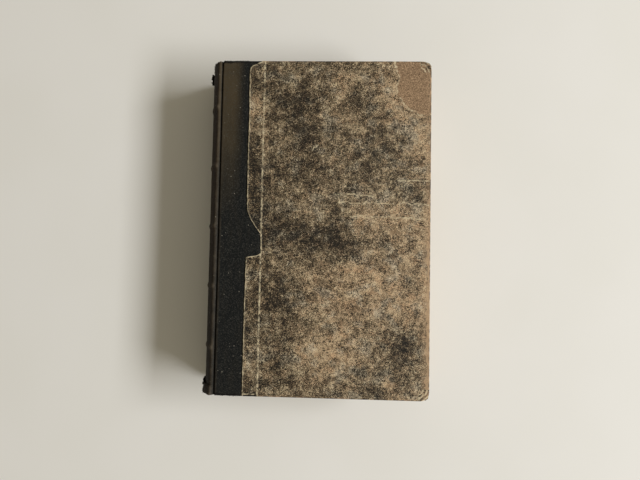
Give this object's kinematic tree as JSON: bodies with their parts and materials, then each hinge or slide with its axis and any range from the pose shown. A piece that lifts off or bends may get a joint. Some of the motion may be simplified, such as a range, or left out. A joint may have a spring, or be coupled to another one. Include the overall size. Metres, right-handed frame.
{
  "type": "quarter-cloth hardback book",
  "caption": "Worn hardback book with a rounded cloth spine over raised sewing cords and mottled paper sides, lying shut; its covers open on hinges.",
  "frame": {"origin": "middle of the shut book's base, on the back cover's outer face", "axes": "+X from the spine to the fore edge, +Y from tail to head, +Z from the back cover to the front cover"},
  "size_m": [0.1518, 0.225, 0.042],
  "materials": {
    "leaves": "matte",
    "endpaper": "matte",
    "side_paper": "satin",
    "lining_paper": "matte",
    "pasteboard": "matte",
    "binding_cloth": "matte",
    "band_cloth": "matte",
    "cord": "matte"
  },
  "bodies": {
    "text_block": {"text_block": "leaves", "front_flyleaf": "endpaper", "back_flyleaf": "endpaper", "head_band": "band_cloth", "tail_band": "band_cloth", "spine_cloth": "binding_cloth", "sewing_cord_1": "cord", "sewing_cord_2": "cord", "sewing_cord_3": "cord", "sewing_cord_4": "cord", "sewing_cord_5": "cord", "spine_lining_1": "lining_paper", "spine_lining_2": "lining_paper", "spine_lining_3": "lining_paper", "spine_lining_4": "lining_paper", "spine_lining_5": "lining_paper", "spine_lining_6": "lining_paper"},
    "front_cover": {"front_board": "pasteboard", "front_cloth_lap": "binding_cloth", "front_side_paper": "side_paper", "front_pastedown": "endpaper", "front_cord_slip_1": "cord", "front_cord_slip_2": "cord", "front_cord_slip_3": "cord", "front_cord_slip_4": "cord", "front_cord_slip_5": "cord"},
    "back_cover": {"back_board": "pasteboard", "back_cloth_lap": "binding_cloth", "back_side_paper": "side_paper", "back_pastedown": "endpaper", "back_cord_slip_1": "cord", "back_cord_slip_2": "cord", "back_cord_slip_3": "cord", "back_cord_slip_4": "cord", "back_cord_slip_5": "cord"}
  },
  "joints": [
    {"name": "front_cover_hinge", "type": "hinge", "parent": "text_block", "child": "front_cover", "pos_m": [-0.0652, 0, 0.0418], "axis": [0, -1, 0], "range_deg": [0, 180]},
    {"name": "back_cover_hinge", "type": "hinge", "parent": "text_block", "child": "back_cover", "pos_m": [-0.0652, 0, 0.0002], "axis": [0, 1, 0], "range_deg": [0, 180]}
  ]
}
